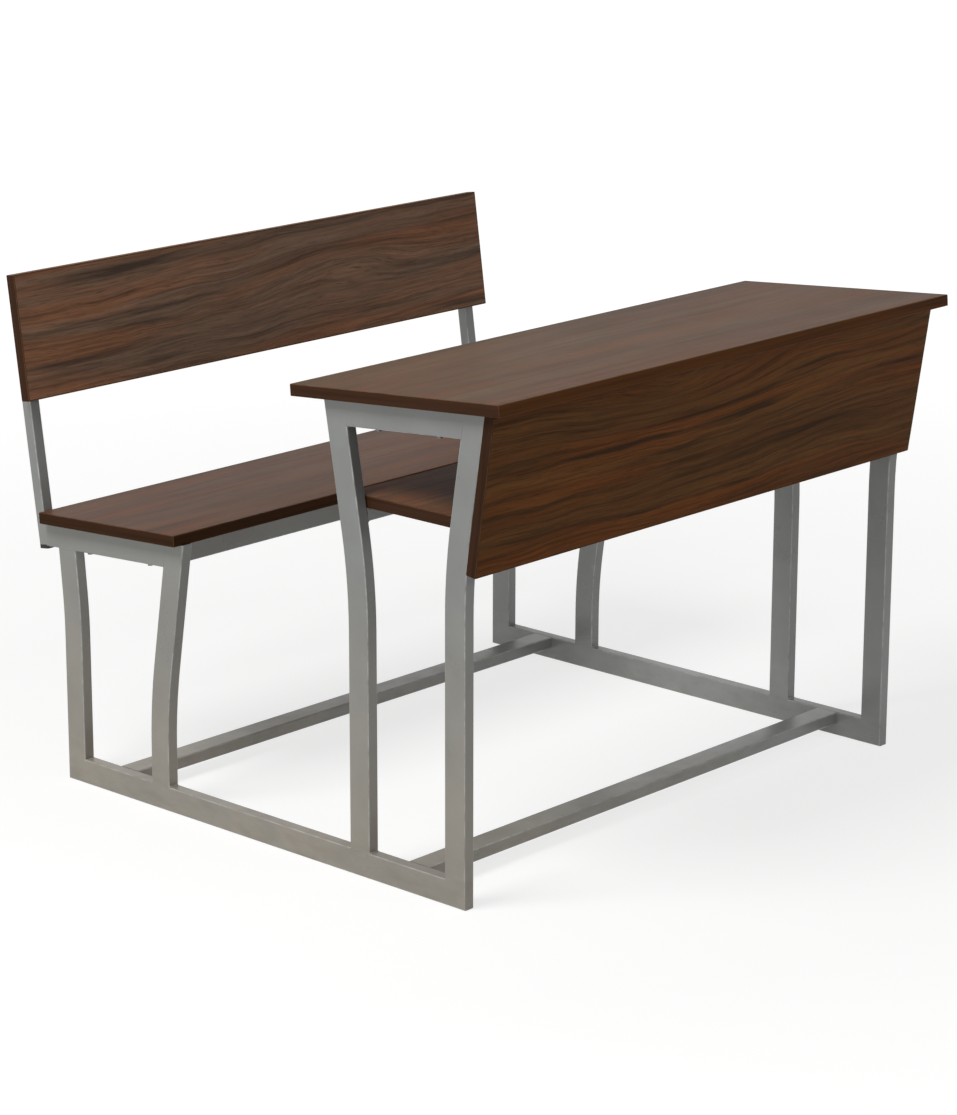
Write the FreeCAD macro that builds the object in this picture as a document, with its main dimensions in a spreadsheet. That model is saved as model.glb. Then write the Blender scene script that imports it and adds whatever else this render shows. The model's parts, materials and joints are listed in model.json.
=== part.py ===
import FreeCAD, Part

import math
import os
import re

import Sketcher

# School desk with a fixed bench, on one welded frame of flat steel tube.
# Frame: +X along the desk, the modesty panel faces -Y, the bench stands towards +Y, +Z is up.
# The origin is on the floor, under the middle of the whole box. Left is the -X end.

# Driving dimensions, in millimetres and degrees
SIZES = {
    # Whole desk
    "overall_depth": 1054.0,
    "frame_width": 1032.0,
    "frame_setback": 78.5,
    "back_overhang": 110.5,
    # Frame tube and post tube
    "tube_deep": 40.0,
    "tube_wide": 20.0,
    "tube_wall": 1.5,
    "tube_corner": 2.5,
    "post_side": 20.0,
    # Legs: a vertical foot, a wide bend and a leaning upper part
    "bend_radius": 900.0,
    "desk_rear_inset": 119.5,
    "desk_front_lean_deg": 8.9,
    "desk_front_knee": 505.0,
    "desk_rear_lean_deg": 9.9,
    "desk_rear_knee": 453.0,
    "bench_front_inset": 61.0,
    "bench_front_lean_deg": 9.0,
    "bench_front_knee": 165.0,
    "bench_rear_lean_deg": 5.0,
    "bench_rear_knee": 278.0,
    # Stretchers and cross rails
    "desk_stretcher_offset": 89.5,
    "bench_stretcher_offset": 94.0,
    "cross_rail_setback": 41.0,
    # Boards and their edge bands
    "board_overhang": 16.0,
    "board_thick": 18.0,
    "band_thick": 2.0,
    "band_corner": 1.5,
    "band_arris": 0.8,
    # Desktop
    "desk_height": 766.0,
    "desk_depth": 410.0,
    "desk_slope_deg": 4.5,
    # Seat
    "seat_height": 438.0,
    "seat_depth": 313.0,
    "seat_slope_deg": 3.5,
    "seat_gap": 7.0,
    # Backrest and posts
    "post_top": 778.0,
    "back_lean_deg": 8.0,
    "back_rise": 30.0,
    "back_tall": 200.0,
    # Modesty panel
    "panel_overhang": 2.0,
    "panel_bottom": 506.5,
    "panel_gap": 0.2,
    # Book shelf
    "shelf_height": 580.0,
    "shelf_gap": 1.0,
    # End caps of the posts
    "cap_lip": 6.5,
    "cap_tongue": 12.0,
    "cap_clearance": 0.3,
    # Screws
    "screw_thick": 5.0,
    "screw_flats": 8.0,
    "screw_head_tall": 3.5,
    "screw_bite": 12.0,
    "screw_clearance": 0.3,
    "desk_screw_front": 140.0,
    "desk_screw_back": 150.0,
    "seat_screw_front": 85.0,
    "seat_screw_back": 88.0,
    "back_screw_first": 32.0,
    "back_screw_pitch": 100.0,
    "panel_screw_first": 95.0,
    "panel_screw_pitch": 78.0,
    "shelf_screw_inset": 110.0,
    # How far cutting solids run past what they cut
    "overrun": 15.0,
}

doc = FreeCAD.newDocument("SchoolDesk")
sheet = doc.addObject("Spreadsheet::Sheet", "Sizes")
for row, (alias, value) in enumerate(SIZES.items(), start=1):
    sheet.set(f"A{row}", alias)
    sheet.set(f"B{row}", str(value))
    sheet.setAlias(f"B{row}", alias)
doc.recompute()

nodes = []


def bind(obj, prop, formula):
    """Bind a property to a formula of sheet names."""
    words = re.sub(r"[a-z_]+", lambda word: sheet_name(word.group()), str(formula))
    obj.setExpression(prop, words)


def sheet_name(word):
    return f"Sizes.{word}" if word in SIZES else word


def place(x, y, z, turn="0", axis="1; 0; 0"):
    """Formula of a place, turned about an axis (X unless given)."""
    return f"placement(vector({x}; {y}; {z}); rotation(vector({axis}); {turn}))"


def node(obj, label):
    obj.Label = label
    nodes.append(obj)
    return obj


# Places that several pieces share
END_X = "(frame_width - tube_wide) / 2"
CLEAR_WIDTH = "(frame_width - 2 * tube_wide)"
BOARD_LENGTH = "(frame_width + 2 * board_overhang)"
PANEL_LENGTH = "(frame_width + 2 * panel_overhang)"
FRAME_FRONT = "(frame_setback - overall_depth / 2)"
FRAME_BACK = "(overall_depth / 2 - back_overhang)"
DESK_FRONT_FOOT = f"({FRAME_FRONT} + tube_deep / 2)"
DESK_REAR_FOOT = "(desk_depth - overall_depth / 2 - desk_rear_inset)"
BENCH_REAR_FOOT = f"({FRAME_BACK} - tube_deep / 2)"

# Turns that lay a tube along X or along Y, and a screw from the back towards the front
ALONG_X = place("0", "0", "0", "90", "0; 1; 0")
ALONG_Y = place("0", "0", "0", "-90")
FORWARD = place("0", "0", "0", "90")

# Desktop plane: origin at the front edge of its underside, y runs back along the slope
DESK_UNDER = "(desk_height - board_thick * cos(desk_slope_deg))"
DESK = place("0", "-overall_depth / 2", DESK_UNDER, "-desk_slope_deg")

# Back plane: origin at the top back edge of the posts' caps, z runs up the lean
BACK = place("0", "overall_depth / 2", "post_top", "-back_lean_deg")
POST_FRONT = (
    "(overall_depth / 2 - post_side / cos(back_lean_deg)"
    " - tan(back_lean_deg) * (post_top - seat_height))"
)

# Seat plane: origin at the back edge of its underside, y runs back along the slope
SEAT_BACK = f"({POST_FRONT} - seat_gap - board_thick * sin(seat_slope_deg))"
SEAT_UNDER = "(seat_height - board_thick * cos(seat_slope_deg))"
SEAT = place("0", SEAT_BACK, SEAT_UNDER, "-seat_slope_deg")
BENCH_FRONT_FOOT = f"({SEAT_BACK} - seat_depth + bench_front_inset)"

# Leaning upper parts of the legs: origin at the knee, z runs up the lean
DESK_FRONT_LEG = place("0", DESK_FRONT_FOOT, "desk_front_knee", "desk_front_lean_deg")
DESK_REAR_LEG = place("0", DESK_REAR_FOOT, "desk_rear_knee", "-desk_rear_lean_deg")
BENCH_FRONT_LEG = place("0", BENCH_FRONT_FOOT, "bench_front_knee", "bench_front_lean_deg")

# Modesty panel: it bears on the bend of the front legs below and on their straight part above
BEND_Y = f"({DESK_FRONT_FOOT} - bend_radius)"
BEND_Z = "(desk_front_knee - bend_radius * tan(desk_front_lean_deg / 2))"
FACE_RADIUS = "(bend_radius - tube_deep / 2)"
PANEL_FOOT = f"({BEND_Y} + sqrt({FACE_RADIUS} ^ 2 - (panel_bottom - {BEND_Z}) ^ 2) - panel_gap)"
PANEL_HEAD = (
    f"({DESK_FRONT_FOOT} - tan(desk_front_lean_deg) * ({DESK_UNDER} - desk_front_knee)"
    " - tube_deep / 2 / cos(desk_front_lean_deg) - panel_gap)"
)
PANEL_RUN = f"(({PANEL_FOOT} - {PANEL_HEAD}) / ({DESK_UNDER} - panel_bottom))"
PANEL_LEAN = f"atan({PANEL_RUN})"
PANEL = place("0", PANEL_FOOT, "panel_bottom", PANEL_LEAN)
PANEL_TALL = (
    f"(({DESK_UNDER} - panel_bottom - ({PANEL_FOOT} + overall_depth / 2) * tan(desk_slope_deg))"
    f" / (cos({PANEL_LEAN}) - sin({PANEL_LEAN}) * tan(desk_slope_deg)) - panel_gap)"
)

# Book shelf: it lies on two flat rails, behind the panel and between the end frames
SHELF_UNDER = "(shelf_height - board_thick)"
SHELF_RAIL_Z = f"({SHELF_UNDER} - tube_wide / 2)"
SHELF_RAIL_FRONT = DESK_FRONT_FOOT
SHELF_RAIL_REAR = f"({DESK_REAR_FOOT} + tan(desk_rear_lean_deg) * ({SHELF_RAIL_Z} - desk_rear_knee))"
SHELF_FRONT = f"({PANEL_FOOT} - {PANEL_RUN} * ({SHELF_UNDER} - panel_bottom) + shelf_gap)"
SHELF_BACK = f"({SHELF_RAIL_REAR} + tube_deep / 2)"
SHELF_DEPTH = f"({SHELF_BACK} - {SHELF_FRONT})"
SHELF_LENGTH = f"({CLEAR_WIDTH} - 2 * shelf_gap)"
SHELF = place("0", SHELF_FRONT, SHELF_UNDER)


def new_body(name):
    return doc.addObject("PartDesign::Body", name)


def origin_feature(body, role):
    return next(item for item in body.Origin.OriginFeatures if item.Role == role)


def new_sketch(body, name, role):
    sketch = body.newObject("Sketcher::SketchObject", name)
    sketch.AttachmentSupport = (origin_feature(body, role), [""])
    sketch.MapMode = "FlatFace"
    return sketch


def dimension(sketch, name, formula, *constraint):
    """Add a named dimension to a sketch and bind it."""
    index = sketch.addConstraint(Sketcher.Constraint(*constraint))
    sketch.renameConstraint(index, name)
    bind(sketch, f"Constraints.{name}", formula)


def point(x, y):
    return FreeCAD.Vector(x, y, 0)


def closed_lines(sketch, points):
    """Draw a closed outline of straight lines, and return the number of its first line."""
    ends = points[1:] + points[:1]
    lines = [Part.LineSegment(point(*start), point(*end)) for start, end in zip(points, ends)]
    first = sketch.addGeometry(lines)[0]
    count = len(lines)
    for step in range(count):
        here = first + step
        after = first + (step + 1) % count
        sketch.addConstraint(Sketcher.Constraint("Coincident", here, 2, after, 1))
    return first


def inner_rectangle(sketch, wide, deep, start_wide, start_deep):
    """Draw a rectangle about the sketch's origin."""
    x = start_wide / 2
    y = start_deep / 2
    first = closed_lines(sketch, [(-x, -y), (x, -y), (x, y), (-x, y)])
    for step, way in enumerate(("Horizontal", "Vertical", "Horizontal", "Vertical")):
        sketch.addConstraint(Sketcher.Constraint(way, first + step))
    sketch.addConstraint(Sketcher.Constraint("Symmetric", first, 1, first + 2, 1, -1, 1))
    dimension(sketch, "inner_wide", wide, "DistanceX", first, 1, first, 2, start_wide)
    dimension(sketch, "inner_deep", deep, "DistanceY", first + 1, 1, first + 1, 2, start_deep)


def rounded_rectangle(sketch, wide, deep, corner, start_wide, start_deep):
    """Draw a rectangle with rounded corners about the sketch's origin, from given starting sizes."""
    radius = SIZES[corner]
    x = start_wide / 2 - radius
    y = start_deep / 2 - radius
    sides = [
        ((-x, -y - radius), (x, -y - radius), (x, -y)),
        ((x + radius, -y), (x + radius, y), (x, y)),
        ((x, y + radius), (-x, y + radius), (-x, y)),
        ((-x - radius, y), (-x - radius, -y), (-x, -y)),
    ]
    up = FreeCAD.Vector(0, 0, 1)
    for quarter, (start, end, centre) in enumerate(sides):
        turn = quarter * math.pi / 2
        circle = Part.Circle(point(*centre), up, radius)
        sketch.addGeometry(Part.LineSegment(point(*start), point(*end)))
        sketch.addGeometry(Part.ArcOfCircle(circle, turn - math.pi / 2, turn))
    for step in range(8):
        sketch.addConstraint(Sketcher.Constraint("Tangent", step, 2, (step + 1) % 8, 1))
    for side, way in ((0, "Horizontal"), (2, "Vertical"), (4, "Horizontal"), (6, "Vertical")):
        sketch.addConstraint(Sketcher.Constraint(way, side))
    for arc in (3, 5, 7):
        sketch.addConstraint(Sketcher.Constraint("Equal", 1, arc))
    sketch.addConstraint(Sketcher.Constraint("Symmetric", 1, 3, 5, 3, -1, 1))
    dimension(sketch, "corner", corner, "Radius", 1, radius)
    dimension(sketch, "wide", wide, "DistanceX", 6, 1, 2, 1, start_wide)
    dimension(sketch, "deep", deep, "DistanceY", 0, 1, 4, 1, start_deep)


def ring_sketch(body, wide, deep, corner, wall, start_wide, start_deep):
    """Draw the cross-section of a tube, or the plan of an edge band."""
    sketch = new_sketch(body, f"{body.Name}_section", "XY_Plane")
    rounded_rectangle(sketch, wide, deep, corner, start_wide, start_deep)
    inner_wide = start_wide - 2 * SIZES[wall]
    inner_deep = start_deep - 2 * SIZES[wall]
    inner_rectangle(sketch, f"{wide} - 2 * {wall}", f"{deep} - 2 * {wall}", inner_wide, inner_deep)
    return sketch


def tube_section(body, wide, deep):
    return ring_sketch(body, wide, deep, "tube_corner", "tube_wall", SIZES[wide], SIZES[deep])


def pad(body, sketch, length):
    feature = body.newObject("PartDesign::Pad", f"{sketch.Name}_pad")
    feature.Profile = sketch
    bind(feature, "Length", length)
    sketch.Visibility = False
    return feature


def straight_tube(name, wide, deep, length, placement):
    """A straight tube, from its placement's origin along its z."""
    body = new_body(name)
    pad(body, tube_section(body, wide, deep), length)
    bind(body, "Placement", placement)
    return body


def bent_tube(name, way, lean, knee, end, placement):
    """A leg: a straight foot, a wide bend and a leaning upper part, swept along its middle line.

    The knee is where the two straight middle lines would meet, and way is -1 or 1 along Y.
    """
    body = new_body(name)
    section = tube_section(body, "tube_wide", "tube_deep")
    path = new_sketch(body, f"{name}_path", "YZ_Plane")
    radius = SIZES["bend_radius"]
    angle = math.radians(SIZES[lean])
    bend_start = SIZES["tube_deep"]
    centre = point(way * radius, bend_start)
    bend_end = point(way * radius * (1 - math.cos(angle)), bend_start + radius * math.sin(angle))
    path_end = bend_end + point(way * math.sin(angle), math.cos(angle)) * bend_start
    circle = Part.Circle(centre, FreeCAD.Vector(0, 0, 1), radius)
    if way < 0:
        bend = Part.ArcOfCircle(circle, 0, angle)
        bend_first, bend_last = 1, 2
    else:
        bend = Part.ArcOfCircle(circle, math.pi - angle, math.pi)
        bend_first, bend_last = 2, 1
    path.addGeometry(Part.LineSegment(point(0, 0), point(0, bend_start)))
    path.addGeometry(bend)
    path.addGeometry(Part.LineSegment(bend_end, path_end))
    path.addConstraint(Sketcher.Constraint("Coincident", 0, 1, -1, 1))
    path.addConstraint(Sketcher.Constraint("Vertical", 0))
    path.addConstraint(Sketcher.Constraint("Tangent", 0, 2, 1, bend_first))
    path.addConstraint(Sketcher.Constraint("Tangent", 1, bend_last, 2, 1))
    dimension(path, "bend", "bend_radius", "Radius", 1, radius)
    direction = f"90 - {way} * {lean}"
    dimension(path, "direction", direction, "Angle", 2, math.pi / 2 - way * angle)
    bend_height = f"{knee} - bend_radius * tan({lean} / 2)"
    dimension(path, "bend_height", bend_height, "DistanceY", 0, 1, 0, 2, bend_start)
    dimension(path, "end_height", end, "DistanceY", 0, 1, 2, 2, path_end.y)
    sweep = body.newObject("PartDesign::AdditivePipe", f"{name}_sweep")
    sweep.Profile = section
    sweep.Spine = (path, ["Edge1", "Edge2", "Edge3"])
    for sketch in (section, path):
        sketch.Visibility = False
    bind(body, "Placement", placement)
    return body


def cutter(name, frame, low_y, low_z, wide, tall):
    """A cutting block right across the desk, placed in one of the planes above."""
    block = doc.addObject("Part::Box", name)
    bind(block, "Length", "frame_width + 2 * overrun")
    bind(block, "Width", wide)
    bind(block, "Height", tall)
    low_x = "-(frame_width / 2 + overrun)"
    bind(block, "Placement", f"{frame} * {place(low_x, low_y, low_z)}")
    return block


def cut(base, tools, label):
    """Cut one solid by several, and make the result a node."""
    for tool in tools:
        result = doc.addObject("Part::Cut", f"{base.Name}_cut")
        result.Base = base
        result.Tool = tool
        base = result
    return node(base, label)


# Cutting blocks for the ends of legs and rails
above_desk_under = cutter(
    "above_desk_under", DESK, "-overrun", "0", "desk_depth + 2 * overrun", "desk_depth"
)
above_seat_under = cutter(
    "above_seat_under", SEAT, "-seat_depth - overrun", "0", "seat_depth + 2 * overrun", "seat_depth"
)
above_seat_rail_under = cutter(
    "above_seat_rail_under", SEAT, "-seat_depth - overrun", "-tube_deep",
    "seat_depth + 2 * overrun", "seat_depth",
)
ahead_of_desk_rail = cutter(
    "ahead_of_desk_rail", DESK_FRONT_LEG, "tube_deep / 2 - desk_depth", "0", "desk_depth", "desk_height"
)
behind_desk_rail = cutter(
    "behind_desk_rail", DESK_REAR_LEG, "-tube_deep / 2", "0", "desk_depth", "desk_height"
)
ahead_of_seat_rail = cutter(
    "ahead_of_seat_rail", BENCH_FRONT_LEG, "tube_deep / 2 - seat_depth", "0", "seat_depth", "desk_height"
)
behind_seat_rail = cutter(
    "behind_seat_rail", BACK, "-post_side", "-post_top", "seat_depth", "post_top"
)

# Cutting blocks for the mitred floor corners, on the slant from the outer corner inwards
MITRE_LONG = "tube_deep * sqrt(2) + 2 * overrun"
MITRE_TALL = "tube_deep / sqrt(2) + overrun"
FRONT_MITRE = place("0", FRAME_FRONT, "0", "45")
BACK_MITRE = place("0", FRAME_BACK, "0", "135")
over_front_mitre = cutter("over_front_mitre", FRONT_MITRE, "-overrun", "0", MITRE_LONG, MITRE_TALL)
under_front_mitre = cutter(
    "under_front_mitre", FRONT_MITRE, "-overrun", f"-({MITRE_TALL})", MITRE_LONG, MITRE_TALL
)
over_back_mitre = cutter(
    "over_back_mitre", BACK_MITRE, "-overrun", f"-({MITRE_TALL})", MITRE_LONG, MITRE_TALL
)
under_back_mitre = cutter("under_back_mitre", BACK_MITRE, "-overrun", "0", MITRE_LONG, MITRE_TALL)


def patterned(body, features, pitch_x, count_x, pitch_y, count_y):
    """Repeat features in rows along the body's x and y."""
    pattern = body.newObject("PartDesign::LinearPattern", f"{body.Name}_rows")
    pattern.Originals = features
    pattern.Direction = (origin_feature(body, "X_Axis"), [""])
    pattern.Occurrences = count_x
    bind(pattern, "Length", pitch_x)
    pattern.Direction2 = (origin_feature(body, "Y_Axis"), [""])
    pattern.Occurrences2 = count_y
    bind(pattern, "Length2", pitch_y)
    body.Tip = pattern


def hexagon(body, name, circumradius, height, start="0"):
    """A six-sided prism of a body, along its z."""
    prism = body.newObject("PartDesign::AdditivePrism", name)
    prism.Polygon = 6
    bind(prism, "Circumradius", circumradius)
    bind(prism, "Height", height)
    bind(prism, "Placement", place("0", "0", start))
    return prism


def screws(name, length, placement, *rows):
    """A group of like hexagon-head wood screws, and the drills that clear their shanks.

    Each head seats at z = 0 and its shank runs up z. Shanks and holes are out of sight, and six-sided too.
    """
    body = new_body(name)
    shank = hexagon(body, f"{name}_shank", "screw_thick / 2", length)
    head = hexagon(
        body, f"{name}_head", "screw_flats / 2 / cos(30)", "screw_head_tall", "-screw_head_tall"
    )
    patterned(body, [shank, head], *rows)
    bind(body, "Placement", placement)
    drills = new_body(f"{name}_drills")
    hole = hexagon(
        drills, f"{name}_hole", "screw_thick / 2 + screw_clearance", f"{length} + screw_clearance"
    )
    patterned(drills, [hole], *rows)
    bind(drills, "Placement", placement)
    node(body, name)
    return drills


# Screws, each seated on the outside of a tube and run into the board behind it
LONG_SCREW = "tube_deep + screw_bite"
DESK_SCREW = place(f"-{END_X}", "desk_screw_front", "-tube_deep")
desktop_drills = screws(
    "desktop_screws", LONG_SCREW, f"{DESK} * {DESK_SCREW}",
    f"2 * {END_X}", 2, "desk_depth - desk_screw_front - desk_screw_back", 2,
)
SEAT_SCREW = place(f"-{END_X}", "seat_screw_front - seat_depth", "-tube_deep")
seat_drills = screws(
    "seat_screws", LONG_SCREW, f"{SEAT} * {SEAT_SCREW}",
    f"2 * {END_X}", 2, "seat_depth - seat_screw_front - seat_screw_back", 2,
)
BACK_SCREW = place(f"-{END_X}", "0", "-back_screw_first - back_screw_pitch")
backrest_drills = screws(
    "backrest_screws", "post_side + screw_bite", f"{BACK} * {BACK_SCREW} * {FORWARD}",
    f"2 * {END_X}", 2, "back_screw_pitch", 2,
)
PANEL_SCREW = place(f"-{END_X}", "tube_deep / 2", "panel_screw_first")
panel_drills = screws(
    "modesty_panel_screws", LONG_SCREW, f"{DESK_FRONT_LEG} * {PANEL_SCREW} * {FORWARD}",
    f"2 * {END_X}", 2, "panel_screw_pitch", 2,
)
SHELF_SCREW = place(
    f"shelf_screw_inset - {CLEAR_WIDTH} / 2", SHELF_RAIL_FRONT, f"{SHELF_UNDER} - tube_wide"
)
shelf_drills = screws(
    "shelf_screws", "tube_wide + screw_bite", SHELF_SCREW,
    f"{CLEAR_WIDTH} - 2 * shelf_screw_inset", 3, f"{SHELF_RAIL_REAR} - {SHELF_RAIL_FRONT}", 2,
)

# The two end frames, welded from tube
POST_TO_SEAT = "(seat_gap + tube_deep * sin(seat_slope_deg))"
POST_FOOT = f"({SEAT_UNDER} - tube_deep * cos(seat_slope_deg) - {POST_TO_SEAT} * sin(seat_slope_deg))"
POST_LENGTH = f"((post_top - {POST_FOOT}) / cos(back_lean_deg) - cap_lip)"
for side, sign in (("left", "-"), ("right", "")):
    x = f"{sign}{END_X}"
    rail = straight_tube(
        f"floor_rail_{side}_tube", "tube_wide", "tube_deep", f"{FRAME_BACK} - {FRAME_FRONT}",
        f"{place(x, FRAME_FRONT, 'tube_deep / 2')} * {ALONG_Y}",
    )
    cut(rail, [over_front_mitre, over_back_mitre], f"floor_rail_{side}")
    leg = bent_tube(
        f"desk_front_leg_{side}_tube", -1, "desk_front_lean_deg", "desk_front_knee", "desk_height",
        place(x, DESK_FRONT_FOOT, "0"),
    )
    cut(leg, [under_front_mitre, above_desk_under, panel_drills], f"desk_front_leg_{side}")
    leg = bent_tube(
        f"desk_rear_leg_{side}_tube", 1, "desk_rear_lean_deg", "desk_rear_knee - tube_deep",
        "desk_height - tube_deep", place(x, DESK_REAR_FOOT, "tube_deep"),
    )
    cut(leg, [above_desk_under], f"desk_rear_leg_{side}")
    rail = straight_tube(
        f"desk_top_rail_{side}_tube", "tube_wide", "tube_deep", "desk_depth",
        f"{DESK} * {place(x, '0', '-tube_deep / 2')} * {ALONG_Y}",
    )
    cut(rail, [ahead_of_desk_rail, behind_desk_rail, desktop_drills], f"desk_top_rail_{side}")
    leg = bent_tube(
        f"bench_front_leg_{side}_tube", -1, "bench_front_lean_deg", "bench_front_knee - tube_deep",
        "seat_height", place(x, BENCH_FRONT_FOOT, "tube_deep"),
    )
    cut(leg, [above_seat_under], f"bench_front_leg_{side}")
    leg = bent_tube(
        f"bench_rear_leg_{side}_tube", 1, "bench_rear_lean_deg", "bench_rear_knee", "seat_height",
        place(x, BENCH_REAR_FOOT, "0"),
    )
    cut(leg, [under_back_mitre, above_seat_rail_under], f"bench_rear_leg_{side}")
    rail = straight_tube(
        f"seat_rail_{side}_tube", "tube_wide", "tube_deep", "seat_depth + tube_deep",
        f"{SEAT} * {place(x, '-seat_depth', '-tube_deep / 2')} * {ALONG_Y}",
    )
    cut(rail, [ahead_of_seat_rail, behind_seat_rail, seat_drills], f"seat_rail_{side}")
    post = straight_tube(
        f"backrest_post_{side}_tube", "post_side", "post_side", POST_LENGTH,
        f"{BACK} * {place(x, '-post_side / 2', f'-cap_lip - {POST_LENGTH}')}",
    )
    cut(post, [backrest_drills], f"backrest_post_{side}")

# Tubes that join the two end frames
CROSS_START = f"-{CLEAR_WIDTH} / 2"
node(
    straight_tube(
        "desk_stretcher", "tube_wide", "tube_deep", CLEAR_WIDTH,
        f"{place(CROSS_START, f'{DESK_FRONT_FOOT} + desk_stretcher_offset', 'tube_deep - tube_wide / 2')}"
        f" * {ALONG_X}",
    ),
    "desk_stretcher",
)
node(
    straight_tube(
        "bench_stretcher", "tube_wide", "tube_deep", CLEAR_WIDTH,
        f"{place(CROSS_START, f'{BENCH_FRONT_FOOT} + bench_stretcher_offset', 'tube_deep - tube_wide / 2')}"
        f" * {ALONG_X}",
    ),
    "bench_stretcher",
)
CROSS_RAIL_Y = "cross_rail_setback - seat_depth + tube_wide / 2"
node(
    straight_tube(
        "seat_cross_rail", "tube_deep", "tube_wide", CLEAR_WIDTH,
        f"{SEAT} * {place(CROSS_START, CROSS_RAIL_Y, '-tube_deep / 2')} * {ALONG_X}",
    ),
    "seat_cross_rail",
)
for end, rail_y in (("front", SHELF_RAIL_FRONT), ("rear", SHELF_RAIL_REAR)):
    rail = straight_tube(
        f"shelf_rail_{end}_tube", "tube_wide", "tube_deep", CLEAR_WIDTH,
        f"{place(CROSS_START, rail_y, SHELF_RAIL_Z)} * {ALONG_X}",
    )
    cut(rail, [shelf_drills], f"shelf_rail_{end}")


def end_caps(name, placement):
    """A cap for the post of each end frame: a lip as wide as the post, and a tongue inside it."""
    body = new_body(name)
    lip_sketch = new_sketch(body, f"{name}_lip", "XY_Plane")
    rounded_rectangle(
        lip_sketch, "post_side", "post_side", "tube_corner", SIZES["post_side"], SIZES["post_side"]
    )
    lip = pad(body, lip_sketch, "cap_lip")
    lip.Reversed = True
    tongue_sketch = new_sketch(body, f"{name}_tongue", "XY_Plane")
    tongue_side = "post_side - 2 * tube_wall - 2 * cap_clearance"
    start_side = SIZES["post_side"] - 2 * SIZES["tube_wall"]
    inner_rectangle(tongue_sketch, tongue_side, tongue_side, start_side, start_side)
    tongue = pad(body, tongue_sketch, "cap_tongue")
    patterned(body, [lip, tongue], f"2 * {END_X}", 2, "post_side", 1)
    bind(body, "Placement", placement)
    return body


POST_START = f"-cap_lip - {POST_LENGTH}"
UPSIDE_DOWN = place("0", "0", "0", "180", "0; 1; 0")
lower_caps = end_caps(
    "lower_caps", f"{BACK} * {place(f'-{END_X}', '-post_side / 2', POST_START)}"
)
upper_caps = end_caps(
    "upper_caps", f"{BACK} * {place(END_X, '-post_side / 2', '-cap_lip')} * {UPSIDE_DOWN}"
)
caps = doc.addObject("Part::Compound", "caps")
caps.Links = [lower_caps, upper_caps]
node(caps, "post_end_caps")


def board(name, band_name, length, width, drills, frame, start_width):
    """A board with its edge band all round.

    In its frame the board is centred on x, and runs along y by its width and up z by its thickness.
    """
    core = doc.addObject("Part::Box", f"{name}_core")
    bind(core, "Length", f"{length} - 2 * band_thick")
    bind(core, "Width", f"{width} - 2 * band_thick")
    bind(core, "Height", "board_thick")
    bind(core, "Placement", f"{frame} * {place(f'band_thick - {length} / 2', 'band_thick', '0')}")
    cut(core, [drills], name)
    band = new_body(band_name)
    plan = ring_sketch(
        band, length, width, "band_corner", "band_thick", SIZES["frame_width"], start_width
    )
    strip = pad(band, plan, "board_thick")
    bind(band, "Placement", f"{frame} * {place('0', f'{width} / 2', '0')}")
    doc.recompute()
    arris = band.newObject("PartDesign::Chamfer", f"{band_name}_arris")
    arris.Base = (strip, outer_edges(strip))
    bind(arris, "Size", "band_arris")
    node(band, band_name)


def outer_edges(strip):
    """Names of the level edges round the outside of an edge band."""
    shape = strip.Shape
    half_x = shape.BoundBox.XLength / 2 - SIZES["band_thick"] * 3 / 4
    half_y = shape.BoundBox.YLength / 2 - SIZES["band_thick"] * 3 / 4
    middle = shape.BoundBox.Center
    names = []
    for number, edge in enumerate(shape.Edges, start=1):
        centre = edge.BoundBox.Center - middle
        level = edge.BoundBox.ZLength < SIZES["band_thick"] / 2
        if level and (abs(centre.x) > half_x or abs(centre.y) > half_y):
            names.append(f"Edge{number}")
    return names


# Boards. The turned frames lay the board's width along the slope or up the lean.
board(
    "desktop_board", "desktop_edge_band", BOARD_LENGTH, "desk_depth", desktop_drills, DESK,
    SIZES["desk_depth"],
)
board(
    "seat_board", "seat_edge_band", BOARD_LENGTH, "seat_depth", seat_drills,
    f"{SEAT} * {place('0', '-seat_depth', '0')}", SIZES["seat_depth"],
)
board(
    "backrest_board", "backrest_edge_band", BOARD_LENGTH, "back_tall", backrest_drills,
    f"{BACK} * {place('0', '-post_side', 'back_rise - back_tall')} * {FORWARD}", SIZES["back_tall"],
)
board(
    "modesty_panel", "modesty_panel_edge_band", PANEL_LENGTH, PANEL_TALL, panel_drills,
    f"{PANEL} * {FORWARD}", SIZES["desk_height"] - SIZES["panel_bottom"],
)
board(
    "book_shelf", "book_shelf_edge_band", SHELF_LENGTH, SHELF_DEPTH, shelf_drills, SHELF,
    SIZES["desk_depth"] - SIZES["desk_rear_inset"],
)

doc.recompute()

# Every object is tested before any file is written
for obj in doc.Objects:
    if "Invalid" in obj.State or "Error" in obj.State:
        raise RuntimeError(f"{obj.Label} is not right: {obj.State}")
    if hasattr(obj, "Shape") and not obj.isDerivedFrom("App::OriginFeature"):
        if obj.Shape.isNull() or not obj.Shape.isValid():
            raise RuntimeError(f"{obj.Label} has no valid shape")

os.makedirs("parts", exist_ok=True)
for piece in nodes:
    piece.Shape.exportStep(f"parts/{piece.Label}.step")
    print(piece.Label, len(piece.Shape.Solids), round(piece.Shape.Volume))
box = Part.makeCompound([piece.Shape for piece in nodes]).BoundBox
print("box", box)
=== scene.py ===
# %% [markdown]
# This lesson dresses a school desk with a fixed bench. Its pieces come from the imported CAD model: a
# welded frame of flat steel tube, five boards with a wood-grain laminate, their edge bands, screws and
# end caps. Blender adds the finishes, the welds, two small end plates, the light and the camera. Nothing
# on the desk moves.

import json
import math

import bmesh
import bpy
from mathutils import Matrix, Vector, noise

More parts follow.
